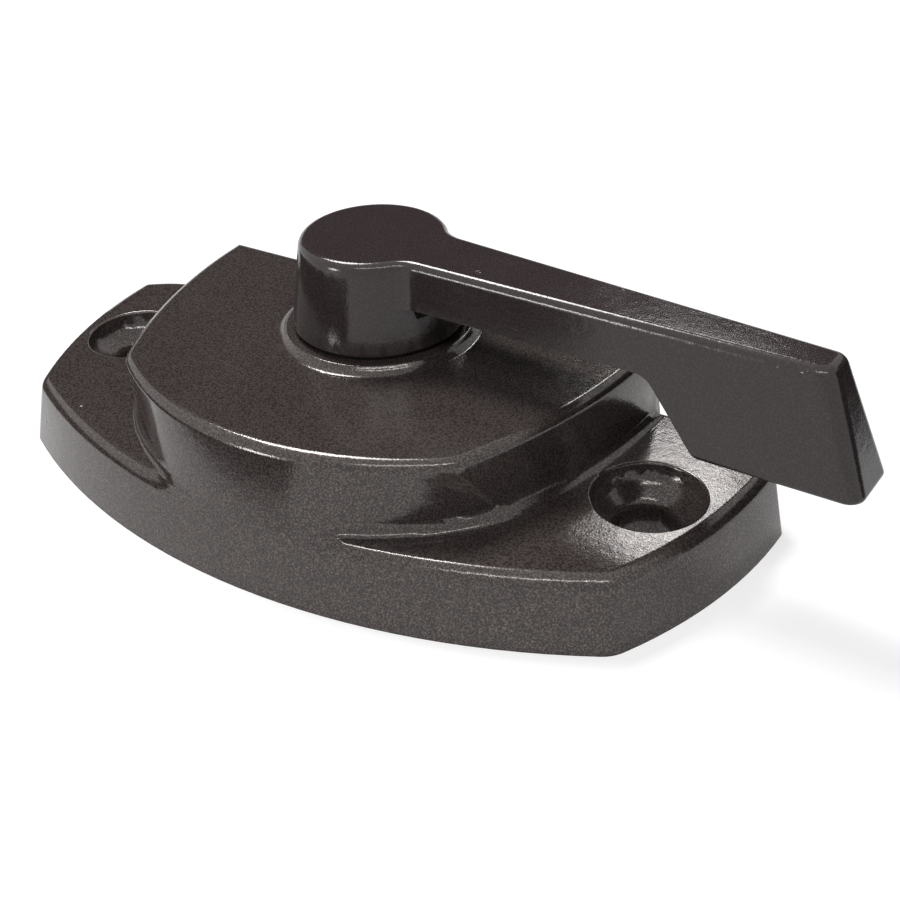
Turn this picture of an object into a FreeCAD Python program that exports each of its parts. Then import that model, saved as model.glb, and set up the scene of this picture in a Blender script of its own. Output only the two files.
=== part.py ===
"""Sliding window lock: a die-cast housing with a swinging handle and a cam that turns out of its rear.

Millimetres, +Z up off the sash. The origin lies midway between the two screw holes, on the face that
seats on the sash. +X runs along the base, and +Y points to the rear, where the cam comes out.
The lock is shown open: the handle lies along +X and the cam's lobe is stowed at the front.
"""
import FreeCAD, Part

import math
import os

V = FreeCAD.Vector

# Base: a boat-shaped flange with drafted walls, held by two countersunk screws.
hole_spacing = 52.4
half_length = 34.4
end_radius = 38.4
end_centre_y = 8.4
front_reach = 18.6
front_radius = 60.8
rear_reach = 11.8
rear_corner_radius = 12.6
rear_flat_half = 25.2
flange_height = 5.8
side_draft = 0.25
rear_draft = 0.10
front_corner_round = 3.0
tail_corner_round = 1.0
flange_edge_round = 0.9

# Pad: the raised middle that carries the handle.
pad_height = 11.8
pad_front_reach_top = 15.62
pad_front_spread = 1.5
pad_front_radius_top = 27.5
pad_front_radius_foot = 22.1
pad_side_half = 21.5
pad_side_radius = 45.5
pad_side_centre_y = 11.3
pad_side_draft = 0.09
pad_corner_round = 4.0
pad_edge_round = 0.8
pad_foot_round = 0.9
pad_foot_front = 0.35

# Underside of the casting.
wall = 2.0
flange_thickness = 2.0
pad_thickness = 2.2
rib_thickness = 1.4
cavity_corner_round = 1.2
rear_wall = 2.9

# Screw holes.
screw_hole_radius = 2.15
countersink_radius = 4.3
countersink_angle = 100.0
counterbore_depth = 1.1
rim_round = 0.25
screw_boss_radius = 5.4

# Roundings on outer edges are made of this many flat steps.
edge_steps = 4

# Bearing of the spindle.
pivot_back = 3.4
boss_radius = 7.95
boss_height = 0.65
boss_foot_round = 0.75
boss_edge_round = 0.25
bearing_boss_radius = 6.4
bearing_boss_depth = 2.2
journal_radius = 3.95
bearing_clearance = 0.05
friction_washer_radius = 6.5
friction_washer_thickness = 0.3

# Handle: hub, tapered arm and hanging paddle.
handle_top = 20.2
handle_turn = -3.5
hub_top_radius = 5.96
hub_foot_radius = 7.2
hub_foot_round = 0.25
arm_half_root = 3.25
arm_taper = 0.0435
arm_draft = 0.14
arm_thickness = 3.7
arm_root_round_front = 2.6
arm_root_round_rear = 3.2
paddle_inner_top = 25.9
paddle_inner_foot = 30.4
paddle_depth = 9.0
paddle_inner_round = 2.0
paddle_corner_round = 1.4
paddle_edge_round = 0.5
tip_length_top = 38.5
tip_slope = 0.40
tip_round_front = 1.4
tip_round_rear = 0.9
handle_edge_round = 0.6

# Spindle below the journal, and what is fixed on it.
shank_width = 5.0
shank_fit = 0.05
cam_plate_bottom = 1.4
cam_plate_thickness = 2.4
cam_hub_radius = 6.0
cam_front_clearance = 0.62
cam_eccentricity = 1.2
lobe_lead_angle = -126.0
lobe_trail_angle = -57.0
lip_thickness = 1.8
lip_height = 2.0
collar_radius = 5.2
collar_flat = 4.6
collar_height = 2.8
shank_end_gap = 0.4
spring_washer_thickness = 0.35
spring_washer_radius = 5.0
spring_washer_gap = 0.02
spring_washer_clearance = 0.15
retaining_washer_radius = 4.2
retaining_washer_thickness = 0.5
screw_radius = 1.45
screw_tap_radius = 1.5
screw_length = 4.4
screw_head_radius = 2.9
screw_head_height = 0.7
screw_slot_width = 0.8
screw_slot_depth = 0.35

# Detent spring beside the collar, and the posts and stop cast in the housing.
leaf_thickness = 0.4
leaf_height = 2.2
leaf_clearance = 0.4
leaf_front = 8.9
leaf_back = 4.6
leaf_hook = 1.4
post_length = 1.7
post_width = 2.2
post_clearance = 0.3
stop_clearance = 0.3
stop_thickness = 1.6
stop_length = 7.0
window_clearance = 0.8

# Places that follow from the sizes above.
hole_x = hole_spacing / 2
pivot = V(0, pivot_back, 0)
ceiling = pad_height - pad_thickness
boss_top = pad_height + boss_height
hub_bottom = boss_top + friction_washer_thickness
bearing_bottom = ceiling - bearing_boss_depth
bore_radius = journal_radius + bearing_clearance
cam_plate_top = cam_plate_bottom + cam_plate_thickness
lip_top = cam_plate_top + lip_height
collar_top = cam_plate_top + collar_height
leaf_bottom = cam_plate_top + leaf_clearance
cam_reach = pad_front_reach_top + pivot_back - wall - cam_front_clearance
cam_disc_radius = cam_reach - cam_eccentricity


def at(x, y, z=0.0):
    return V(x, y, z)


def polar(centre, radius, degrees, z=0.0):
    """Point at an angle and distance from a centre, in plan."""
    a = math.radians(degrees)
    return V(centre.x + radius * math.cos(a), centre.y + radius * math.sin(a), z)


def arc_between(centre, radius, start, end, z):
    """Arc about a centre from the direction of start to that of end, the short way round."""
    a0 = math.atan2(start.y - centre.y, start.x - centre.x)
    a1 = math.atan2(end.y - centre.y, end.x - centre.x)
    turn = (a1 - a0 + math.pi) % (2 * math.pi) - math.pi
    middle = math.degrees(a0 + turn / 2)
    ends = [V(p.x, p.y, z) for p in (start, end)]
    return Part.Arc(ends[0], polar(centre, radius, middle, z), ends[1]).toShape()


def inner_round(centre_a, radius_a, centre_b, radius_b, round_radius, towards=V(1, 0, 0)):
    """Centre and tangent points of a rounding that lies inside two circles, at their meeting on one side."""
    reach_a = radius_a - round_radius
    reach_b = radius_b - round_radius
    gap = centre_b - centre_a
    span = gap.Length
    along = (reach_a ** 2 - reach_b ** 2 + span ** 2) / (2 * span)
    aside = math.sqrt(reach_a ** 2 - along ** 2)
    unit = gap / span
    normal = V(-unit.y, unit.x, 0)
    options = [centre_a + unit * along + normal * aside * s for s in (1, -1)]
    centre = max(options, key=towards.dot)
    towards_a = (centre - centre_a).normalize()
    towards_b = (centre - centre_b).normalize()
    return centre, centre_a + towards_a * radius_a, centre_b + towards_b * radius_b


def mirrored(p):
    return V(-p.x, p.y, p.z)


def both_sides(pieces, front_centre, front_radius_here, rear_point, z):
    """Closed wire from one side's arcs, the front arc, the mirrored arcs and the straight rear edge."""
    right = [arc_between(c, r, a, b, z) for c, r, a, b in pieces]
    left = [arc_between(mirrored(c), r, mirrored(b), mirrored(a), z) for c, r, a, b in reversed(pieces)]
    last = pieces[-1][3]
    front = arc_between(front_centre, front_radius_here, last, mirrored(last), z)
    corner = V(rear_point.x, rear_point.y, z)
    rear = Part.makeLine(mirrored(corner), corner)
    return Part.Wire(right + [front] + left + [rear])


def base_outline(z, inset=0.0, corner=None, tail=None):
    """Outline of the drafted base walls at height z, moved in by inset."""
    corner = corner or front_corner_round - inset
    tail = tail or tail_corner_round - inset
    side = inset + side_draft * z
    back = inset + rear_draft * z
    front_centre = at(0, front_radius - front_reach)
    end_centre = at(half_length - end_radius, end_centre_y)
    rear_centre = at(rear_flat_half, rear_reach - rear_corner_radius)
    front_r = front_radius - side
    end_r = end_radius - side
    rear_r = rear_corner_radius - back
    tail_c, tail_rear, tail_end = inner_round(rear_centre, rear_r, end_centre, end_r, tail)
    nose_c, nose_end, nose_front = inner_round(end_centre, end_r, front_centre, front_r, corner)
    rear_point = at(rear_flat_half, rear_reach - back)
    pieces = [(rear_centre, rear_r, rear_point, tail_rear), (tail_c, tail, tail_rear, tail_end),
              (end_centre, end_r, tail_end, nose_end), (nose_c, corner, nose_end, nose_front)]
    return both_sides(pieces, front_centre, front_r, rear_point, z)


def pad_outline(z, grow=0.0, grow_front=0.0, rear_y=None):
    """Outline of the pad's walls at height z, moved out by grow at the sides and grow_front at the front."""
    t = (pad_height - z) / (pad_height - flange_height)
    front_r = pad_front_radius_top + (pad_front_radius_foot - pad_front_radius_top) * t + grow
    reach = pad_front_reach_top + pad_front_spread * t + grow_front
    front_centre = at(0, front_r - reach)
    side_r = pad_side_radius + pad_side_draft * (pad_height - z) + grow
    side_centre = at(pad_side_half - pad_side_radius, pad_side_centre_y)
    corner = pad_corner_round + grow
    nose_c, nose_side, nose_front = inner_round(side_centre, side_r, front_centre, front_r, corner, at(0, -1))
    if rear_y is None:
        rear_y = rear_reach - rear_draft * z
    rear_x = side_centre.x + math.sqrt(side_r ** 2 - (rear_y - side_centre.y) ** 2)
    rear_point = at(rear_x, rear_y)
    pieces = [(side_centre, side_r, rear_point, nose_side), (nose_c, corner, nose_side, nose_front)]
    return both_sides(pieces, front_centre, front_r, rear_point, z)


def loft(wires):
    return Part.makeLoft(wires, True, True)


def cylinder(radius, z0, z1, centre=pivot):
    return Part.makeCylinder(radius, z1 - z0, V(centre.x, centre.y, z0))


def box(x0, x1, y0, y1, z0, z1):
    return Part.makeBox(x1 - x0, y1 - y0, z1 - z0, V(x0, y0, z0))


def ring(radius_in, radius_out, z0, z1):
    return cylinder(radius_out, z0, z1).cut(cylinder(radius_in, z0 - 1, z1 + 1))


def turned(points, centre=pivot):
    """Solid turned about an upright axis from a profile of (radius, height) points."""
    corners = [V(r, 0, z) for r, z in points]
    body = Part.Face(Part.makePolygon(corners + [corners[0]])).revolve(V(0, 0, 0), V(0, 0, 1), 360)
    body.translate(V(centre.x, centre.y, 0))
    return body


def quarter(radius, steps):
    """Steps along a quarter round: how far it has come in, and how far it has come up."""
    angles = [math.radians(90.0 * i / steps) for i in range(steps + 1)]
    return [(radius * (1 - math.cos(a)), radius * math.sin(a)) for a in angles]


def flange():
    spring = flange_height - flange_edge_round
    rounded = [base_outline(spring + up, inset * 0.98) for inset, up in quarter(flange_edge_round, edge_steps)]
    return loft([base_outline(0)] + rounded)


def envelope():
    """The base's drafted walls carried up to the top of the bearing boss."""
    return loft([base_outline(0), base_outline(boss_top)])


def pad_foot():
    """Hollow-sided skirt that blends the pad's walls into the flange; its top edge ends inside the pad."""
    low = flange_height - flange_edge_round - 0.1
    rear_y = rear_reach - rear_draft * flange_height - flange_edge_round
    wires = [pad_outline(low, pad_foot_round, pad_foot_front, rear_y)]
    for down, out in quarter(1.0, edge_steps)[:-1]:
        share = 1 - out
        wires.append(pad_outline(flange_height + pad_foot_round * down, pad_foot_round * share,
                                 pad_foot_front * share, rear_y))
    sunk = pad_foot_round / 6
    wires.append(pad_outline(flange_height + pad_foot_round + sunk, -sunk, -sunk, rear_y))
    return loft(wires).common(envelope())


def pad():
    """The raised middle, a hair inside the base's own drafted front, so that their fronts run together."""
    spring = pad_height - pad_edge_round
    wires = [pad_outline(flange_height - flange_edge_round - 0.1)]
    for inset, up in quarter(pad_edge_round, edge_steps):
        z = spring + up
        wires.append(pad_outline(z, -inset, -inset, rear_reach - rear_draft * z - inset))
    return loft(wires)


def boss():
    """Low ring that the handle's hub turns on, with a hollow foot, cut off flush at the casting's rear."""
    low = pad_height - pad_edge_round - 0.1
    foot = boss_radius + boss_foot_round
    points = [(0, low), (foot, low)]
    points += [(foot - out, pad_height + down) for down, out in quarter(boss_foot_round, edge_steps)
               if pad_height + down < boss_top - boss_edge_round]
    points += [(boss_radius - boss_edge_round * 0.1, boss_top - boss_edge_round),
               (boss_radius - boss_edge_round * 0.4, boss_top - boss_edge_round * 0.3),
               (boss_radius - boss_edge_round, boss_top), (0, boss_top)]
    return turned(points).common(envelope())


def cavity():
    """Hollow underside: low below the flange, and high below the pad."""
    top = flange_height - flange_thickness
    low = loft([base_outline(z, wall, cavity_corner_round, cavity_corner_round) for z in (-1.0, top)])
    outline = pad_outline(pad_height, -wall, -wall, rear_reach - rear_wall)
    outline.translate(V(0, 0, -1.0 - pad_height))
    high = Part.Face(outline).extrude(V(0, 0, ceiling + 1.0))
    return low.fuse(high)


def screw_boss(side):
    """Boss round one screw hole, with ribs out to the end wall."""
    centre = V(side * hole_x, 0, 0)
    top = flange_height - flange_thickness / 2
    body = cylinder(screw_boss_radius, 0, top, centre)
    reach = half_length - wall / 2
    half = rib_thickness / 2
    rib = box(hole_x, reach, -half, half, 0, top)
    if side < 0:
        rib = rib.mirror(V(0, 0, 0), V(1, 0, 0))
    return body.fuse(rib)


def screw_hole(side):
    """Clearance hole, cone and short straight wall for a flat-head screw, with a rounded rim."""
    hole, head = screw_hole_radius, countersink_radius
    seat = flange_height - counterbore_depth
    depth = (head - hole) / math.tan(math.radians(countersink_angle / 2))
    rim = [(head + inset, flange_height - rim_round + up) for inset, up in quarter(rim_round, 2)]
    top = flange_height + 1
    points = [(0, -1), (hole, -1), (hole, seat - depth), (head, seat)] + rim + [(head + rim_round, top), (0, top)]
    return turned(points, V(side * hole_x, 0, 0))


def housing():
    """Outer shape less the hollow underside, which leaves the inner bosses, posts and ribs standing."""
    hollow = cavity()
    for piece in [bearing_boss(), stop_rib()] + posts() + [screw_boss(side) for side in (-1, 1)]:
        hollow = hollow.cut(piece)
    shell = flange().fuse(pad_foot()).fuse(pad()).fuse(boss()).cut(hollow)
    for side in (-1, 1):
        shell = shell.cut(screw_hole(side))
    return shell.cut(cylinder(bore_radius, -1, boss_top + 1)).cut(cam_window())


def bearing_boss():
    return cylinder(bearing_boss_radius, bearing_bottom, ceiling + 1)


def leaf_ends():
    """Front and rear limits of the straight part of the detent spring."""
    return pivot_back - leaf_front, pivot_back + leaf_back


def posts():
    """Two posts hanging from the pad's underside, which the detent spring lies against."""
    front, back = leaf_ends()
    x0 = collar_flat + leaf_thickness
    x1 = x0 + post_width
    z0 = cam_plate_top + post_clearance
    top = ceiling + pad_thickness / 2
    return [box(x0, x1, front, front + post_length, z0, top),
            box(x0, x1, back - post_length, back, z0, top)]


def stop_rib():
    """Rib in front of the pivot that the cam's lobe rests beside when the lock is open."""
    corner = lobe_corner(lobe_trail_angle)
    x0 = corner.x + stop_clearance
    front = wall / 2 - pad_front_reach_top - pad_front_spread
    return box(x0, x0 + stop_thickness, front, front + stop_length, 0.4, ceiling + pad_thickness / 2)


def cam_window():
    """Slot in the rear wall, open at the seat, through which the lobe swings."""
    rear_inner = rear_reach - pivot_back - wall - rear_draft * lip_top
    left = -(math.sqrt(cam_reach ** 2 - rear_inner ** 2) + window_clearance)
    lead_when_shut = math.radians(lobe_lead_angle + 180)
    right = (rear_reach - pivot_back) / math.tan(lead_when_shut) + stop_clearance
    return box(left, right, rear_reach - rear_wall, rear_reach + 2, -1, lip_top + window_clearance)


def handle():
    """Hub, arm and paddle in one casting, with the spindle below the hub."""
    under = handle_top - arm_thickness
    spring = handle_top - handle_edge_round
    wires = [handle_outline(under)]
    wires += [handle_outline(spring + up, inset) for inset, up in quarter(handle_edge_round, edge_steps)]
    body = loft(wires).fuse(hub_skirt(under)).fuse(paddle(under)).removeSplitter().fuse(spindle())
    body.rotate(V(0, 0, 0), V(0, 0, 1), handle_turn)
    body.translate(pivot)
    return body


def hub_radius(z):
    slope = (hub_foot_radius - hub_top_radius) / (handle_top - hub_bottom)
    return hub_top_radius + slope * (handle_top - z)


def hub_skirt(under):
    """The hub below the arm, down to its rounded foot."""
    foot = [(hub_radius(hub_bottom) - inset, hub_bottom + hub_foot_round - up)
            for inset, up in reversed(quarter(hub_foot_round, 2))]
    points = [(0, hub_bottom)] + foot + [(hub_radius(under), under), (0, under)]
    return turned(points, V(0, 0, 0))


def arm_corners(z, inset=0.0):
    """Half width at the pivot, half width at the tip and length of the arm in plan at height z."""
    drop = handle_top - z
    half_root = arm_half_root + arm_draft * drop - inset
    length = tip_length_top + tip_slope * drop - inset
    return half_root, half_root - arm_taper * length, length


def tip_pieces(z, inset=0.0):
    """The arm's rounded tip, from its front side to its rear side."""
    half_root, half_tip, length = arm_corners(z, inset)
    lean = math.atan(arm_taper)
    found = []
    for side, rounding in ((-1, tip_round_front), (1, tip_round_rear)):
        r = max(rounding - inset, 0.2)
        reach = r * math.tan((math.pi / 2 - lean) / 2)
        corner = V(length, side * half_tip, z)
        along = corner + V(-math.cos(lean), side * math.sin(lean), 0) * reach
        across = corner + V(0, -side * reach, 0)
        centre = V(length - r, across.y, z)
        middle = polar(centre, r, side * (90 - math.degrees(lean)) / 2, z)
        found.append((along, middle, across))
    (a0, am, a1), (b0, bm, b1) = found
    return a0, [Part.Arc(a0, am, a1).toShape(), Part.makeLine(a1, b1), Part.Arc(b1, bm, b0).toShape()], b0


def handle_outline(z, inset=0.0):
    """Hub and arm in plan at height z: the hub's arc, a rounding at each root, the sides and the tip."""
    r = hub_radius(z) - inset
    half_root, half_tip, length = arm_corners(z, inset)
    lean = math.atan(arm_taper)
    tip_front, tip, tip_rear = tip_pieces(z, inset)
    roots = []
    for side, fillet in ((-1, arm_root_round_front), (1, arm_root_round_rear)):
        fillet += inset
        normal = V(math.sin(lean), side * math.cos(lean), 0)
        start = V(0, side * half_root, 0)
        level = start.dot(normal) + fillet
        along = math.sqrt((r + fillet) ** 2 - level ** 2)
        centre = normal * level + V(math.cos(lean), -side * math.sin(lean), 0) * along
        on_side = centre - normal * fillet
        on_hub = centre * (r / (r + fillet))
        roots.append((centre, fillet, on_side, on_hub))
    (fc, fr, f_side, f_hub), (rc, rr, r_side, r_hub) = roots
    back = Part.Arc(V(r_hub.x, r_hub.y, z), V(-r, 0, z), V(f_hub.x, f_hub.y, z)).toShape()
    lift = V(0, 0, z)
    return Part.Wire([back, arc_between(fc, fr, f_hub, f_side, z), Part.makeLine(f_side + lift, tip_front)] + tip
                     + [Part.makeLine(tip_rear, r_side + lift), arc_between(rc, rr, r_side, r_hub, z)])


def paddle(under):
    """The end of the arm below its underside, with a slanted inner face."""
    foot = handle_top - paddle_depth
    wires = [paddle_outline(foot + paddle_edge_round - up, inset)
             for inset, up in reversed(quarter(paddle_edge_round, edge_steps))]
    wires.append(paddle_outline(under))
    return loft(wires).common(paddle_profile(under, foot))


def paddle_outline(z, inset=0.0):
    """The outer half of the arm in plan, squared off short of the hub."""
    half_root, half_tip, length = arm_corners(z, inset)
    front, tip, rear = tip_pieces(z, inset)
    near = paddle_inner_top - 2 * paddle_inner_round
    a = V(near, -(half_root - arm_taper * near), z)
    b = V(near, half_root - arm_taper * near, z)
    return Part.Wire([Part.makeLine(a, front)] + tip + [Part.makeLine(rear, b), Part.makeLine(b, a)])


def paddle_profile(under, foot):
    """Side view of the paddle, wide enough to trim it: hollow rounding above, small rounding below."""
    wide = 2 * arm_half_root + paddle_depth
    far = tip_length_top + tip_slope * paddle_depth + 1
    top = V(paddle_inner_top, 0, under)
    low = V(paddle_inner_foot, 0, foot)
    down = (low - top).normalize()
    lean = math.atan2(-down.z, down.x)
    reach_in = paddle_inner_round * math.tan(lean / 2)
    reach_out = paddle_corner_round * math.tan(lean / 2)
    rim = top - V(reach_in, 0, 0)
    hollow_centre = rim - V(0, 0, paddle_inner_round)
    hollow_end = top + down * reach_in
    round_start = low - down * reach_out
    round_end = low + V(reach_out, 0, 0)
    round_centre = round_end + V(0, 0, paddle_corner_round)
    mid_in = hollow_centre + V(math.sin(lean / 2), 0, math.cos(lean / 2)) * paddle_inner_round
    mid_out = round_centre - V(math.sin(lean / 2), 0, math.cos(lean / 2)) * paddle_corner_round
    corners = [round_end, V(far, 0, foot), V(far, 0, under), rim]
    edges = [Part.makeLine(a, b) for a, b in zip(corners, corners[1:])]
    edges += [Part.Arc(rim, mid_in, hollow_end).toShape(), Part.makeLine(hollow_end, round_start),
              Part.Arc(round_start, mid_out, round_end).toShape()]
    body = Part.Face(Part.Wire(edges)).extrude(V(0, wide, 0))
    body.translate(V(0, -wide / 2, 0))
    return body


def spindle():
    """Round journal, then a square shank with a tapped end."""
    journal = Part.makeCylinder(journal_radius, hub_bottom - bearing_bottom, V(0, 0, bearing_bottom))
    half = shank_width / 2
    low = cam_plate_bottom + shank_end_gap
    shank = box(-half, half, -half, half, low, bearing_bottom)
    tap = Part.makeCylinder(screw_tap_radius, screw_length, V(0, 0, low))
    return journal.fuse(shank).cut(tap)


def lobe_corner(degrees):
    """Outer corner of the cam's lobe on one of its flanks."""
    centre = cam_disc_centre()
    a = math.radians(degrees)
    direction = V(math.cos(a), math.sin(a), 0)
    offset = pivot - centre
    along = offset.dot(direction)
    reach = -along + math.sqrt(along ** 2 - offset.dot(offset) + cam_disc_radius ** 2)
    return pivot + direction * reach


def cam_disc_centre():
    return polar(pivot, cam_eccentricity, lobe_trail_angle)


def wedge(z0, z1):
    """Wedge between the lobe's two flanks."""
    far = cam_reach * 2
    middle = (lobe_lead_angle + lobe_trail_angle) / 2
    corners = [V(pivot.x, pivot.y, z0)] + [polar(pivot, far, a, z0)
                                           for a in (lobe_lead_angle, middle, lobe_trail_angle)]
    return Part.Face(Part.makePolygon(corners + [corners[0]])).extrude(V(0, 0, z1 - z0))


def sweep_cam():
    """Plate with a hooked lobe, and a collar with two flats round the square hole."""
    disc = cylinder(cam_disc_radius, cam_plate_bottom, cam_plate_top, cam_disc_centre())
    plate = disc.common(wedge(cam_plate_bottom, cam_plate_top))
    plate = plate.fuse(cylinder(cam_hub_radius, cam_plate_bottom, cam_plate_top))
    rim = cylinder(cam_disc_radius, cam_plate_bottom, lip_top, cam_disc_centre())
    rim = rim.cut(cylinder(cam_disc_radius - lip_thickness, 0, lip_top + 1, cam_disc_centre()))
    rim = rim.common(wedge(cam_plate_bottom, lip_top))
    flat = box(-collar_flat, collar_flat, pivot_back - collar_radius, pivot_back + collar_radius,
               cam_plate_bottom, collar_top)
    collar = cylinder(collar_radius, cam_plate_bottom, collar_top).common(flat)
    half = shank_width / 2 + shank_fit
    hole = box(-half, half, -half, half, 0, collar_top + 1)
    hole.rotate(V(0, 0, 0), V(0, 0, 1), handle_turn)
    hole.translate(pivot)
    return plate.fuse(rim).fuse(collar).cut(hole).removeSplitter()


def detent_spring():
    """Flat strip against the collar's flat, with both ends turned out round the posts."""
    front, back = leaf_ends()
    x0 = collar_flat
    x1 = x0 + leaf_thickness
    z1 = leaf_bottom + leaf_height
    strip = box(x0, x1, front - leaf_thickness, back + leaf_thickness, leaf_bottom, z1)
    hooks = [box(x1, x1 + leaf_hook, front - leaf_thickness, front, leaf_bottom, z1),
             box(x1, x1 + leaf_hook, back, back + leaf_thickness, leaf_bottom, z1)]
    body = strip.fuse(hooks[0]).fuse(hooks[1]).removeSplitter()
    outer = [e for e in body.Edges if e.BoundBox.XMax < x0 + 0.01 and e.BoundBox.ZLength > leaf_height / 2]
    return body.makeFillet(leaf_thickness * 0.9, outer)


def friction_washer():
    return ring(bore_radius, friction_washer_radius, boss_top, hub_bottom)


def spring_washer():
    """Dished ring: its inner edge lies on the cam's collar, and its outer edge presses on the housing."""
    inner = shank_width / 2 * math.sqrt(2) + spring_washer_clearance
    t = spring_washer_thickness
    top = bearing_bottom - spring_washer_gap
    return turned([(inner, collar_top), (spring_washer_radius, top - t), (spring_washer_radius, top),
                   (inner, collar_top + t)])


def retaining_washer():
    return ring(screw_tap_radius + 0.1, retaining_washer_radius,
                cam_plate_bottom - retaining_washer_thickness, cam_plate_bottom)


def cam_screw():
    """Thin-headed slotted screw in the end of the spindle."""
    head_top = cam_plate_bottom - retaining_washer_thickness
    head_bottom = head_top - screw_head_height
    rim = screw_slot_depth / 2
    head = turned([(0, head_bottom), (screw_head_radius - rim, head_bottom), (screw_head_radius, head_bottom + rim),
                   (screw_head_radius, head_top), (0, head_top)])
    slot = box(-screw_head_radius, screw_head_radius, pivot_back - screw_slot_width / 2,
               pivot_back + screw_slot_width / 2, head_bottom - 1, head_bottom + screw_slot_depth)
    thread = cylinder(screw_radius, head_top, head_top + screw_length)
    return head.cut(slot).fuse(thread)


parts = {
    "housing": housing,
    "handle": handle,
    "friction_washer": friction_washer,
    "sweep_cam": sweep_cam,
    "spring_washer": spring_washer,
    "detent_spring": detent_spring,
    "retaining_washer": retaining_washer,
    "cam_screw": cam_screw,
}

os.makedirs("parts", exist_ok=True)
for name, build in parts.items():
    shape = build()
    shape.exportStep("parts/" + name + ".step")
    print(name, "solids", len(shape.Solids), "valid", shape.isValid(), "volume", round(shape.Volume, 2))
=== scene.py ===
"""Sliding window lock in dark bronze paint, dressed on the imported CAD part. Metres, in the CAD's own frame."""

import math

import bmesh
import bpy
import numpy as np
from mathutils import Matrix, Vector


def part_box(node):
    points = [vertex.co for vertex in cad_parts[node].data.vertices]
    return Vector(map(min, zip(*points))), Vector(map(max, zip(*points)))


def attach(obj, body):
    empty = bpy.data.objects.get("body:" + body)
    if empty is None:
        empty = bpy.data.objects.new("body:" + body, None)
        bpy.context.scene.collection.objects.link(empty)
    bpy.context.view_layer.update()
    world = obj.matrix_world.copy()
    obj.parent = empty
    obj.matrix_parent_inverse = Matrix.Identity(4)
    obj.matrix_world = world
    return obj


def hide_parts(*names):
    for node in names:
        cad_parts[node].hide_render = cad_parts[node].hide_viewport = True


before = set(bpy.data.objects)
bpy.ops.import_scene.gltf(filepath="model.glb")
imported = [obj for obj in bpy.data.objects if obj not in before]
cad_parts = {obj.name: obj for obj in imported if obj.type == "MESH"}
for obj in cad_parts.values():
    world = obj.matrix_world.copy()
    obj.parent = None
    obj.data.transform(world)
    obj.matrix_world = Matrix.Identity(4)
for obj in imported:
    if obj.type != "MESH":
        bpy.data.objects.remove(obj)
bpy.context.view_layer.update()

# Housing
# The base, raised pad and bearing are one hollow zinc die casting. It is sprayed and baked in dark
# bronze paint, which leaves a fine grain. The pad's sizes are those of the casting, for its shading.
MM = 0.001
SOFT_EDGE_ANGLE = math.radians(32)
FLAT_ANGLE = math.radians(0.05)
JOIN_WITHIN = 0.001 * MM
FACE_AREA_WEIGHT = 80
LEVEL_FACE, NEARLY_LEVEL = 0.99995, 0.70
FLANGE_TOP, PAD_TOP = 5.8 * MM, 11.8 * MM
FRONT_RADIUS, FRONT_DRAFT = 60.8 * MM, 0.25
PAD_FRONT_RADIUS_TOP, PAD_FRONT_RADIUS_FOOT = 27.5 * MM, 22.1 * MM
PAD_FRONT_REACH, PAD_FRONT_SPREAD = 15.62 * MM, 1.5 * MM
PAD_SIDE_HALF, PAD_SIDE_RADIUS, PAD_SIDE_CENTRE_Y, PAD_SIDE_DRAFT = 21.5 * MM, 45.5 * MM, 11.3 * MM, 0.09
PAD_CORNER_ROUND, PAD_EDGE_ROUND, PAD_FOOT_ROUND = 4.0 * MM, 0.8 * MM, 0.9 * MM
NEAR_THE_WALL = 0.15 * MM
# Corners that point to the rear by more than these shares belong to other walls.
FRONT_FACES_REAR, PAD_FACES_REAR = 0.2, 0.5
# Where the base's front wall runs up into the pad's: along X, in front of Y, and in height.
MERGES_FROM, MERGES_UNTIL = (-10.0 * MM, -5.4 * MM), (9.2 * MM, 7.6 * MM)
FRONT_OF_PAD = -14.2 * MM
MERGES_LOW, MERGES_HIGH = FLANGE_TOP - 1.2 * MM, FLANGE_TOP + 1.4 * MM
# The sideways share of an arc's direction at most, so that its square stays under 1.
WIDEST_ACROSS = 0.9


def linear(hex_colour):
    """sRGB hex to linear RGBA: each channel is divided by 12.92 near black, and raised to 2.4 above it."""
    value = int(hex_colour.lstrip("#"), 16)
    channels = [(value >> shift & 255) / 255 for shift in (16, 8, 0)]
    return [c / 12.92 if c <= 0.04045 else ((c + 0.055) / 1.055) ** 2.4 for c in channels] + [1.0]


def add(tree, kind, inputs=(), **settings):
    """Adds one shader node, sets its own settings, and sets or links each named input."""
    node = tree.nodes.new(kind)
    for name, value in settings.items():
        setattr(node, name, value)
    for name, value in dict(inputs).items():
        if isinstance(value, bpy.types.NodeSocket):
            tree.links.new(value, node.inputs[name])
        else:
            node.inputs[name].default_value = value
    return node


def new_finish(name):
    """An empty node material and its tree."""
    material = bpy.data.materials.new(name)
    material.use_nodes = True
    material.node_tree.nodes.clear()
    return material, material.node_tree


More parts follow.
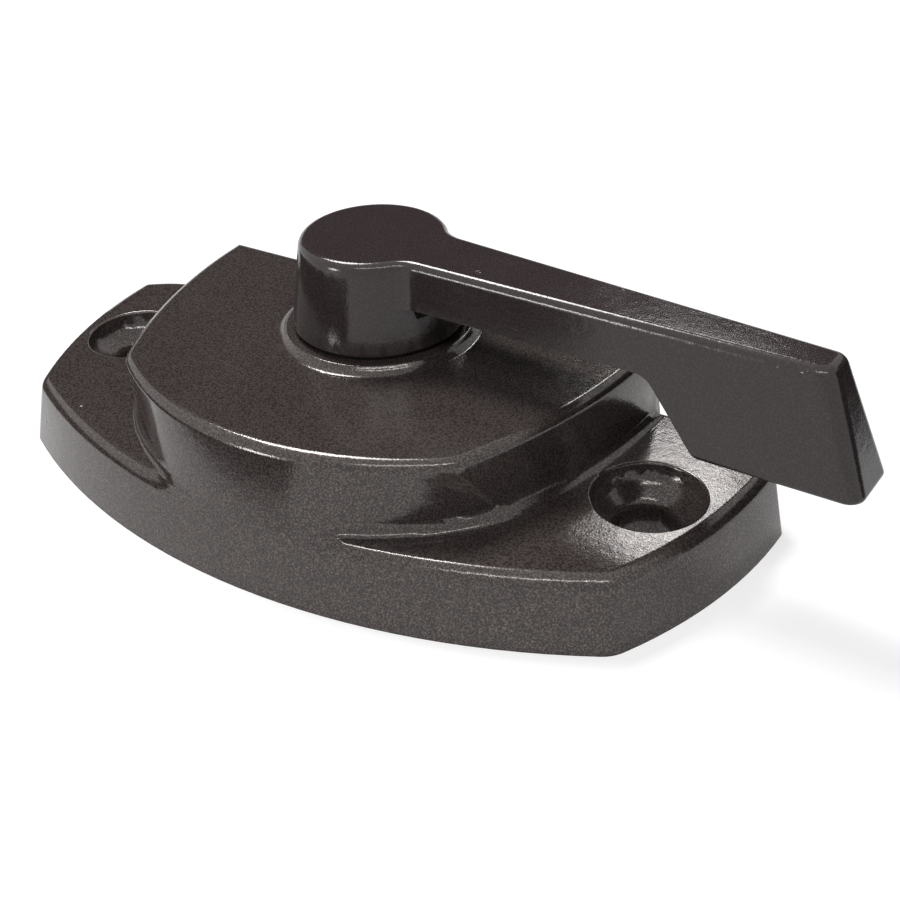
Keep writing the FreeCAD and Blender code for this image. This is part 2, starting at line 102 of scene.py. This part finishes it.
def bronze_paint(name, seed, flake_share, ior):
    """Baked acrylic enamel with fine metal flake, sprayed on a zinc casting.

    The flake mirrors what a wall faces, so walls over the white floor are grainy and light, and tops stay a
    dark purple-brown. flake_share is how much of a flake shows as metal, and seed moves the pattern. Real
    flake is about 0.03 mm and is drawn coarser here so that it shows. Orange peel and a few dust nibs are
    left in the skin."""
    material, tree = new_finish(name)
    flake_size, flake_depth = 0.14 * MM, 0.006 * MM
    peel_size, peel_depth = 0.9 * MM, 0.013 * MM
    nib_spacing, nib_height = 5.0 * MM, 0.03 * MM
    mottle_size = 5.0 * MM
    place = add(tree, "ShaderNodeTexCoord").outputs["Object"]
    moved = add(tree, "ShaderNodeMapping", {"Vector": place, "Location": (seed, seed, seed)}).outputs["Vector"]
    flake = add(tree, "ShaderNodeTexNoise", {"Vector": moved, "Scale": 1 / flake_size, "Detail": 1.0})
    peel = add(tree, "ShaderNodeTexNoise", {"Vector": moved, "Scale": 1 / peel_size, "Detail": 2.0})
    mottle = add(tree, "ShaderNodeTexNoise", {"Vector": moved, "Scale": 1 / mottle_size, "Detail": 3.0})
    nibs = add(tree, "ShaderNodeTexVoronoi", {"Vector": moved, "Scale": 1 / nib_spacing}, feature="F1")
    flakes = add(tree, "ShaderNodeMapRange", {"Value": flake.outputs["Fac"], "From Min": 0.42, "From Max": 0.72,
                                              "To Min": 0.0, "To Max": flake_share}).outputs["Result"]
    colour = add(tree, "ShaderNodeMix", {"Factor": flakes, "A": linear("#332a2c"), "B": linear("#8a8178")},
                 data_type="RGBA")
    shade = add(tree, "ShaderNodeMapRange", {"Value": mottle.outputs["Fac"], "From Min": 0.3, "From Max": 0.7,
                                             "To Min": 0.12, "To Max": 0.18})
    nib = add(tree, "ShaderNodeMapRange", {"Value": nibs.outputs["Distance"], "From Min": 0.02,
                                           "From Max": 0.06, "To Min": 1.0, "To Max": 0.0},
              interpolation_type="SMOOTHSTEP")
    skin = add(tree, "ShaderNodeBump", {"Height": peel.outputs["Fac"], "Distance": peel_depth})
    grain = add(tree, "ShaderNodeBump", {"Height": flake.outputs["Fac"], "Distance": flake_depth,
                                         "Normal": skin.outputs["Normal"]})
    dust = add(tree, "ShaderNodeBump", {"Height": nib.outputs["Result"], "Distance": nib_height,
                                        "Normal": grain.outputs["Normal"]})
    paint = add(tree, "ShaderNodeBsdfPrincipled",
                {"Base Color": colour.outputs["Result"], "Roughness": shade.outputs["Result"],
                 "Metallic": flakes, "IOR": ior, "Normal": dust.outputs["Normal"]})
    add(tree, "ShaderNodeOutputMaterial", {"Surface": paint.outputs["BSDF"]})
    return material


def smooth_copy(node, name, material, join_flats=False):
    """A copy of a CAD node with its triangles joined, and smoothed across all but its sharp edges.

    With join_flats, each flat area is made one face first, so that its size counts in the shading."""
    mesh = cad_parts[node].data.copy()
    mesh.name = name
    shell = bmesh.new()
    shell.from_mesh(mesh)
    bmesh.ops.remove_doubles(shell, verts=shell.verts, dist=JOIN_WITHIN)
    if join_flats:
        bmesh.ops.dissolve_limit(shell, angle_limit=FLAT_ANGLE, use_dissolve_boundaries=False,
                                 verts=shell.verts, edges=shell.edges)
    shell.to_mesh(mesh)
    shell.free()
    mesh.shade_smooth()
    mesh.set_sharp_from_angle(angle=SOFT_EDGE_ANGLE)
    mesh.materials.clear()
    mesh.materials.append(material)
    piece = bpy.data.objects.new(name, mesh)
    bpy.context.scene.collection.objects.link(piece)
    weighted = piece.modifiers.new("Even shading", "WEIGHTED_NORMAL")
    weighted.keep_sharp = True
    weighted.weight = FACE_AREA_WEIGHT
    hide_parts(node)
    return piece


def step(value, start, end):
    """Smooth step: 0 before start, 1 after end, and three squares less two cubes of the share between."""
    share = np.clip((value - start) / (end - start), 0, 1)
    return share * share * (3 - 2 * share)


def outside_pad(x, y, z):
    """How far a place lies outside the pad's drafted walls.

    The greatest of its distances from the front arc and the two side arcs, rounded where two of them meet:
    the length of both distances, each measured from one corner radius inside."""
    depth = (PAD_TOP - z) / (PAD_TOP - FLANGE_TOP)
    radius = PAD_FRONT_RADIUS_TOP + (PAD_FRONT_RADIUS_FOOT - PAD_FRONT_RADIUS_TOP) * depth
    reach = PAD_FRONT_REACH + PAD_FRONT_SPREAD * depth
    front = np.hypot(x, y - (radius - reach)) - radius
    side_x = np.abs(x) - (PAD_SIDE_HALF - PAD_SIDE_RADIUS)
    side = np.hypot(side_x, y - PAD_SIDE_CENTRE_Y) - PAD_SIDE_RADIUS - PAD_SIDE_DRAFT * (PAD_TOP - z)
    inner_front, inner_side = front + PAD_CORNER_ROUND, side + PAD_CORNER_ROUND
    rounded = np.hypot(np.maximum(inner_front, 0), np.maximum(inner_side, 0)) - PAD_CORNER_ROUND
    return np.where((inner_front > 0) & (inner_side > 0), rounded, np.maximum(front, side))


def shade_casting(piece):
    """Sets the directions that the housing's corners are shaded by, from the shape that was cast.

    Corners on a level face point straight up or down. Those on the pad's walls point the way that the distance
    from the walls grows, and in the hollow foot they turn up by the share of the foot's radius left above them.
    Where the base's front wall runs up into the pad's, they go from one wall's direction to the other's."""
    shaded = piece.evaluated_get(bpy.context.evaluated_depsgraph_get()).data
    own = np.empty(len(shaded.loops) * 3)
    shaded.corner_normals.foreach_get("vector", own)
    own = own.reshape(-1, 3)
    vertex = np.empty(len(shaded.loops), dtype=int)
    shaded.loops.foreach_get("vertex_index", vertex)
    place = np.empty(len(shaded.vertices) * 3)
    shaded.vertices.foreach_get("co", place)
    x, y, z = place.reshape(-1, 3)[vertex].T
    facing = np.empty(len(shaded.polygons) * 3)
    shaded.polygons.foreach_get("normal", facing)
    corners = np.empty(len(shaded.polygons), dtype=int)
    shaded.polygons.foreach_get("loop_total", corners)
    upward = np.repeat(facing.reshape(-1, 3)[:, 2], corners)
    for way in (1, -1):
        level = upward * way > LEVEL_FACE
        touches_level = np.zeros(len(shaded.vertices), dtype=bool)
        touches_level[vertex[level]] = True
        own[level | (touches_level[vertex] & (own[:, 2] * way > NEARLY_LEVEL))] = (0, 0, way)

    gap = outside_pad(x, y, z)
    nudge = 0.01 * MM
    slope = np.stack([outside_pad(x + nudge, y, z) - outside_pad(x - nudge, y, z),
                      outside_pad(x, y + nudge, z) - outside_pad(x, y - nudge, z),
                      outside_pad(x, y, z + nudge) - outside_pad(x, y, z - nudge)], axis=1)
    slope /= np.linalg.norm(slope, axis=1)[:, None]
    turned_up = np.clip(np.maximum(1 - (z - FLANGE_TOP) / PAD_FOOT_ROUND, slope[:, 2]), 0, 1)[:, None]
    outward = slope * (1, 1, 0) / np.linalg.norm(slope[:, :2], axis=1)[:, None]
    pad_wall = outward * np.sqrt(1 - turned_up ** 2) + np.array([0, 0, 1]) * turned_up
    on_wall = ((z > FLANGE_TOP - nudge) & (z < PAD_TOP - PAD_EDGE_ROUND + nudge) & (gap > -NEAR_THE_WALL)
               & (gap < PAD_FOOT_ROUND + NEAR_THE_WALL) & (own[:, 1] < PAD_FACES_REAR) & (own[:, 2] > 0)
               & (upward < LEVEL_FACE))
    own[on_wall] = pad_wall[on_wall]

    def out_of_arc(radius):
        across = np.clip(x / radius, -WIDEST_ACROSS, WIDEST_ACROSS)
        return np.stack([across, -np.sqrt(1 - across ** 2), np.full_like(x, FRONT_DRAFT)], axis=1)

    rise = step(z, MERGES_LOW, MERGES_HIGH)[:, None]
    wall = out_of_arc(FRONT_RADIUS) * (1 - rise) + out_of_arc(PAD_FRONT_RADIUS_FOOT) * rise
    share = step(x, *MERGES_FROM) * step(x, *MERGES_UNTIL)
    share = share * (y < FRONT_OF_PAD) * (z > MERGES_LOW) * (z < MERGES_HIGH)
    share = (share * (own[:, 1] < FRONT_FACES_REAR))[:, None]
    blended = own * (1 - share) + wall / np.linalg.norm(wall, axis=1)[:, None] * share
    piece.modifiers.clear()
    piece.data.normals_split_custom_set(blended / np.linalg.norm(blended, axis=1)[:, None])


housing = smooth_copy("housing", "cast_housing", bronze_paint("bronze baked enamel, base", 0.0, 0.60, 1.50))
shade_casting(housing)
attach(housing, "base")

# Friction washer
# A thin black acetal ring under the hub, punched from sheet. It keeps the two painted castings apart
# while the handle turns, and shows as a dark line.
def black_plastic(name):
    """Acetal sheet, near black with a dull, faintly uneven surface."""
    material, tree = new_finish(name)
    grain_size, grain_depth = 0.3 * MM, 0.01 * MM
    place = add(tree, "ShaderNodeTexCoord").outputs["Object"]
    grain = add(tree, "ShaderNodeTexNoise", {"Vector": place, "Scale": 1 / grain_size, "Detail": 2.0})
    colour = add(tree, "ShaderNodeMix", {"Factor": grain.outputs["Fac"], "A": linear("#0e0e0f"),
                                         "B": linear("#1c1c1d")}, data_type="RGBA")
    bump = add(tree, "ShaderNodeBump", {"Height": grain.outputs["Fac"], "Distance": grain_depth})
    plastic = add(tree, "ShaderNodeBsdfPrincipled", {"Base Color": colour.outputs["Result"], "Roughness": 0.55,
                                                     "IOR": 1.48, "Normal": bump.outputs["Normal"]})
    add(tree, "ShaderNodeOutputMaterial", {"Surface": plastic.outputs["BSDF"]})
    return material


washer = smooth_copy("friction_washer", "friction_ring", black_plastic("black acetal sheet"))
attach(washer, "base")

# Handle
# Hub, tapered arm and hanging paddle are a second zinc casting in the same paint. Its spindle goes down
# through the base's bearing.
# This copy of the paint has a quarter of the base's flake and a lower IOR. The handle's walls therefore come out
# darker and less grainy than the base's: painted shade for the dark surroundings they mirror.
handle_paint_shaded_copy = bronze_paint("bronze baked enamel, handle, darkened for shade", 0.3, 0.15, 1.45)
handle = smooth_copy("handle", "cast_handle", handle_paint_shaded_copy, join_flats=True)
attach(handle, "lever")

# Cam
# The sweep cam is a bare zinc die casting, pressed on the spindle's square and left as it came out of
# the die, so it is a dull light grey with faint flow marks.
def bare_zinc(name):
    """Zinc alloy as cast: a metal with a matt skin, cloudy where it flowed."""
    material, tree = new_finish(name)
    flow_size = 3.0 * MM
    pit_size, pit_depth = 0.25 * MM, 0.008 * MM
    edge_radius = 0.15 * MM
    place = add(tree, "ShaderNodeTexCoord").outputs["Object"]
    flow = add(tree, "ShaderNodeTexNoise", {"Vector": place, "Scale": 1 / flow_size, "Detail": 4.0,
                                            "Distortion": 1.2})
    pits = add(tree, "ShaderNodeTexNoise", {"Vector": place, "Scale": 1 / pit_size, "Detail": 1.0})
    colour = add(tree, "ShaderNodeMix", {"Factor": flow.outputs["Fac"], "A": linear("#85878a"),
                                         "B": linear("#a9abad")}, data_type="RGBA")
    shade = add(tree, "ShaderNodeMapRange", {"Value": flow.outputs["Fac"], "From Min": 0.3, "From Max": 0.7,
                                             "To Min": 0.38, "To Max": 0.55})
    edge = add(tree, "ShaderNodeBevel", {"Radius": edge_radius}, samples=4)
    bump = add(tree, "ShaderNodeBump", {"Height": pits.outputs["Fac"], "Distance": pit_depth,
                                        "Normal": edge.outputs["Normal"]})
    zinc = add(tree, "ShaderNodeBsdfPrincipled", {"Base Color": colour.outputs["Result"], "Metallic": 1.0,
                                                  "Roughness": shade.outputs["Result"],
                                                  "Normal": bump.outputs["Normal"]})
    add(tree, "ShaderNodeOutputMaterial", {"Surface": zinc.outputs["BSDF"]})
    return material


cam = smooth_copy("sweep_cam", "cast_cam", bare_zinc("zinc alloy as cast"), join_flats=True)
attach(cam, "lever")

# Springs
# A dished washer takes up the spindle's end play, and a flat strip bears on the cam's collar to hold the
# handle open or shut. Both are hardened spring steel, tempered to a brown-grey.
def tempered_steel(name):
    """Hardened and oiled strip: a dark metal with fine rolling lines along X and a brown cast."""
    material, tree = new_finish(name)
    line_width, line_length, line_depth = 0.12 * MM, 6.0 * MM, 0.003 * MM
    place = add(tree, "ShaderNodeTexCoord").outputs["Object"]
    stretched = add(tree, "ShaderNodeMapping", {"Vector": place, "Scale": (line_width / line_length, 1.0, 1.0)})
    lines = add(tree, "ShaderNodeTexNoise", {"Vector": stretched.outputs["Vector"], "Scale": 1 / line_width,
                                             "Detail": 2.0})
    colour = add(tree, "ShaderNodeMix", {"Factor": lines.outputs["Fac"], "A": linear("#4a443f"),
                                         "B": linear("#77706a")}, data_type="RGBA")
    bump = add(tree, "ShaderNodeBump", {"Height": lines.outputs["Fac"], "Distance": line_depth})
    steel = add(tree, "ShaderNodeBsdfPrincipled", {"Base Color": colour.outputs["Result"], "Metallic": 1.0,
                                                   "Roughness": 0.33, "Normal": bump.outputs["Normal"]})
    add(tree, "ShaderNodeOutputMaterial", {"Surface": steel.outputs["BSDF"]})
    return material


spring_steel = tempered_steel("tempered spring steel")
for node, name, body in (("spring_washer", "dished_washer", "lever"),
                         ("detent_spring", "detent_strip", "base")):
    spring = smooth_copy(node, name, spring_steel)
    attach(spring, body)

# Fixing of the cam
# A plain washer and a slotted screw in the spindle's end hold the cam on. Both are steel, plated with
# bright zinc.
RING_UNIT = 0.314


def bright_zinc_plate(name, centre):
    """Zinc plate on turned steel: a bright bluish metal with fine rings round the screw's axis.

    A wave texture repeats every pi / 10 of its own unit, which sets the rings' scale from their pitch."""
    material, tree = new_finish(name)
    ring_pitch, ring_depth = 0.12 * MM, 0.002 * MM
    cloud_size = 1.5 * MM
    place = add(tree, "ShaderNodeTexCoord").outputs["Object"]
    centred = add(tree, "ShaderNodeMapping", {"Vector": place, "Location": [-c for c in centre]})
    rings = add(tree, "ShaderNodeTexWave",
                {"Vector": centred.outputs["Vector"], "Scale": RING_UNIT / ring_pitch, "Distortion": 0.6,
                 "Detail": 1.0}, wave_type="RINGS", rings_direction="Z")
    cloud = add(tree, "ShaderNodeTexNoise", {"Vector": place, "Scale": 1 / cloud_size, "Detail": 3.0})
    colour = add(tree, "ShaderNodeMix", {"Factor": cloud.outputs["Fac"], "A": linear("#b4b8be"),
                                         "B": linear("#d3d6da")}, data_type="RGBA")
    bump = add(tree, "ShaderNodeBump", {"Height": rings.outputs["Fac"], "Distance": ring_depth})
    plate = add(tree, "ShaderNodeBsdfPrincipled", {"Base Color": colour.outputs["Result"], "Metallic": 1.0,
                                                   "Roughness": 0.24, "Normal": bump.outputs["Normal"]})
    add(tree, "ShaderNodeOutputMaterial", {"Surface": plate.outputs["BSDF"]})
    return material


screw_low, screw_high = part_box("cam_screw")
spindle_axis = ((screw_low[0] + screw_high[0]) / 2, (screw_low[1] + screw_high[1]) / 2, 0.0)
plated = bright_zinc_plate("bright zinc plate on steel", spindle_axis)
for node, name in (("retaining_washer", "plain_washer"), ("cam_screw", "slotted_screw")):
    fixing = smooth_copy(node, name, plated)
    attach(fixing, "lever")

# Studio
# A white floor and surround. Soft lamps at the rear left, low at the front left, at the rear and over
# the front right draw the bright lines along the edges and light the flange's corner. Dark cards that
# only mirrors see keep the tops, the paddle's end and the lines under the edges dark.
FLOOR_SIZE = 4.0
FLOOR_BELOW = 0.02 * MM
WHITE_NEAR, WHITE_FAR = 0.70, 1.0
WHITE_FROM, WHITE_UNTIL = 0.3, 1.0
AMBIENT = 0.12


def seen_or_mirrored(tree):
    """1 on rays from the camera, off a mirror or through glass, and 0 on all others."""
    path = add(tree, "ShaderNodeLightPath")
    seen = add(tree, "ShaderNodeMath", {0: path.outputs["Is Camera Ray"], 1: path.outputs["Is Glossy Ray"]},
               operation="MAXIMUM")
    return add(tree, "ShaderNodeMath", {0: seen.outputs[0], 1: path.outputs["Is Transmission Ray"]},
               operation="MAXIMUM").outputs[0]


def white_for_view(tree, lit, strength):
    """Adds plain white to what the camera and mirrors see of a surface, and leaves its light as it is."""
    glow = add(tree, "ShaderNodeEmission", {"Color": (1, 1, 1, 1), "Strength": strength})
    clear = add(tree, "ShaderNodeEmission", {"Strength": 0.0})
    mixed = add(tree, "ShaderNodeMixShader",
                {0: seen_or_mirrored(tree), 1: clear.outputs[0], 2: glow.outputs[0]})
    return add(tree, "ShaderNodeAddShader", {0: lit, 1: mixed.outputs[0]}).outputs[0]


def flat_square(name, centre, towards, width, height):
    """A flat rectangle of one face about a centre, facing a direction."""
    facing = Vector(towards).normalized()
    across = facing.cross(Vector((0, 0, 1)))
    across = Vector((1, 0, 0)) if across.length < 0.001 else across.normalized()
    upward = across.cross(facing)
    mesh = bpy.data.meshes.new(name)
    corners = [Vector(centre) + across * width / 2 * a + upward * height / 2 * b
               for a, b in ((-1, -1), (1, -1), (1, 1), (-1, 1))]
    mesh.from_pydata(corners, [], [(3, 2, 1, 0)])
    board = bpy.data.objects.new(name, mesh)
    bpy.context.scene.collection.objects.link(board)
    return board


floor = flat_square("floor", (0, 0, -FLOOR_BELOW), (0, 0, 1), FLOOR_SIZE, FLOOR_SIZE)
floor_finish, tree = new_finish("white paper floor")
paper = add(tree, "ShaderNodeBsdfPrincipled", {"Base Color": linear("#b4b4b4"), "Roughness": 0.9,
                                               "Specular IOR Level": 0.1})
# Far from the lamps the floor is lit less, so its own white grows with the distance from the lock.
place = add(tree, "ShaderNodeTexCoord").outputs["Object"]
away = add(tree, "ShaderNodeVectorMath", {0: place}, operation="LENGTH")
white = add(tree, "ShaderNodeMapRange", {"Value": away.outputs["Value"], "From Min": WHITE_FROM,
                                         "From Max": WHITE_UNTIL, "To Min": WHITE_NEAR, "To Max": WHITE_FAR})
add(tree, "ShaderNodeOutputMaterial",
    {"Surface": white_for_view(tree, paper.outputs[0], white.outputs["Result"])})
floor.data.materials.append(floor_finish)


def direction(azimuth, elevation):
    """Unit vector at degrees clockwise from the rear, seen from above, and degrees above the floor."""
    a, e = math.radians(azimuth), math.radians(elevation)
    return Vector((math.sin(a) * math.cos(e), math.cos(a) * math.cos(e), math.sin(e)))


def soft_lamp(name, azimuth, elevation, distance, width, height, radiance):
    """An area lamp facing the lock. Its watts are its radiance times pi times its area."""
    data = bpy.data.lights.new(name, "AREA")
    data.shape = "RECTANGLE"
    data.size, data.size_y = width, height
    data.energy = radiance * math.pi * width * height
    lamp = bpy.data.objects.new(name, data)
    lamp.location = direction(azimuth, elevation) * distance
    lamp.rotation_euler = (-lamp.location).to_track_quat("-Z", "Y").to_euler()
    bpy.context.scene.collection.objects.link(lamp)


soft_lamp("overhead, rear left", -62.4, 60, 0.60, 0.18, 0.18, 28)
soft_lamp("front left", -153.2, 10, 0.60, 0.12, 0.12, 19)
soft_lamp("rear window", -17.0, 38.5, 0.50, 0.06, 0.06, 12)
soft_lamp("strip over the front right", 145, 55, 0.60, 0.50, 0.04, 14)

card_finish, tree = new_finish("dark grey card")
board = add(tree, "ShaderNodeBsdfPrincipled", {"Base Color": linear("#161616"), "Roughness": 0.9})
add(tree, "ShaderNodeOutputMaterial", {"Surface": board.outputs[0]})


def only_mirrored(card):
    """Puts the dark finish on a card, and hides it from the camera and from the lamps' light."""
    card.data.materials.append(card_finish)
    card.visible_camera = card.visible_diffuse = card.visible_shadow = False


for name, azimuth, elevation, distance, width, height in (("dark_card_left", -42, 33, 0.75, 0.85, 0.55),
                                                          ("dark_card_right", 50, 15, 0.085, 0.10, 0.044)):
    outward = direction(azimuth, elevation)
    only_mirrored(flat_square(name, outward * distance, -outward, width, height))


def low_rim(name, radius, height, start, end, steps):
    """A low upright wall along an arc on the floor: sine and cosine of equal steps of the angle, times the
    radius, in a row at the floor and a row at the height."""
    a = np.radians(np.linspace(start, end, steps))
    ring = np.stack([radius * np.sin(a), radius * np.cos(a), np.zeros(steps)], axis=1)
    places = np.concatenate([ring, ring + (0, 0, height)])
    i = np.arange(steps - 1)
    faces = np.stack([i, i + 1, i + 1 + steps, i + steps], axis=1)
    mesh = bpy.data.meshes.new(name)
    mesh.from_pydata(places.tolist(), [], faces.tolist())
    rim = bpy.data.objects.new(name, mesh)
    bpy.context.scene.collection.objects.link(rim)
    return rim


only_mirrored(low_rim("dark_rim_front", 50 * MM, 12 * MM, -75, -176, 30))

world = bpy.data.worlds.new("surround")
bpy.context.scene.world = world
world.use_nodes = True
tree = world.node_tree
tree.nodes.clear()
ambient = add(tree, "ShaderNodeBackground", {"Color": (1, 1, 1, 1), "Strength": AMBIENT})
white = add(tree, "ShaderNodeBackground", {"Color": (1, 1, 1, 1), "Strength": WHITE_FAR})
surround = add(tree, "ShaderNodeMixShader",
               {0: seen_or_mirrored(tree), 1: ambient.outputs[0], 2: white.outputs[0]})
add(tree, "ShaderNodeOutputWorld", {"Surface": surround.outputs[0]})

# Camera
# A 50 mm lens at the front right, about 35 degrees up and turned slightly about its own axis. Its place
# was fitted to outlines and corners in the photograph.
CAMERA_AZIMUTH, CAMERA_ELEVATION = 146.20, 34.54
CAMERA_ROLL = math.radians(-2.86)
CAMERA_DISTANCE = 109.45 * MM
CAMERA_TARGET = Vector((5.32 * MM, 4.89 * MM, 0.0))
back = direction(CAMERA_AZIMUTH, CAMERA_ELEVATION)
level = Vector((0, 0, 1)).cross(back).normalized()
upright = back.cross(level)
right = level * math.cos(CAMERA_ROLL) + upright * math.sin(CAMERA_ROLL)
up = upright * math.cos(CAMERA_ROLL) - level * math.sin(CAMERA_ROLL)
camera_data = bpy.data.cameras.new("camera")
camera_data.sensor_width = 36
camera_data.lens = 50
camera_data.clip_start = 0.001
camera = bpy.data.objects.new("camera", camera_data)
camera.matrix_world = Matrix.Translation(CAMERA_TARGET + back * CAMERA_DISTANCE) @ Matrix(
    (right, up, back)).transposed().to_4x4()
bpy.context.scene.collection.objects.link(camera)
bpy.context.scene.camera = camera
bpy.context.scene.view_settings.view_transform = "Standard"
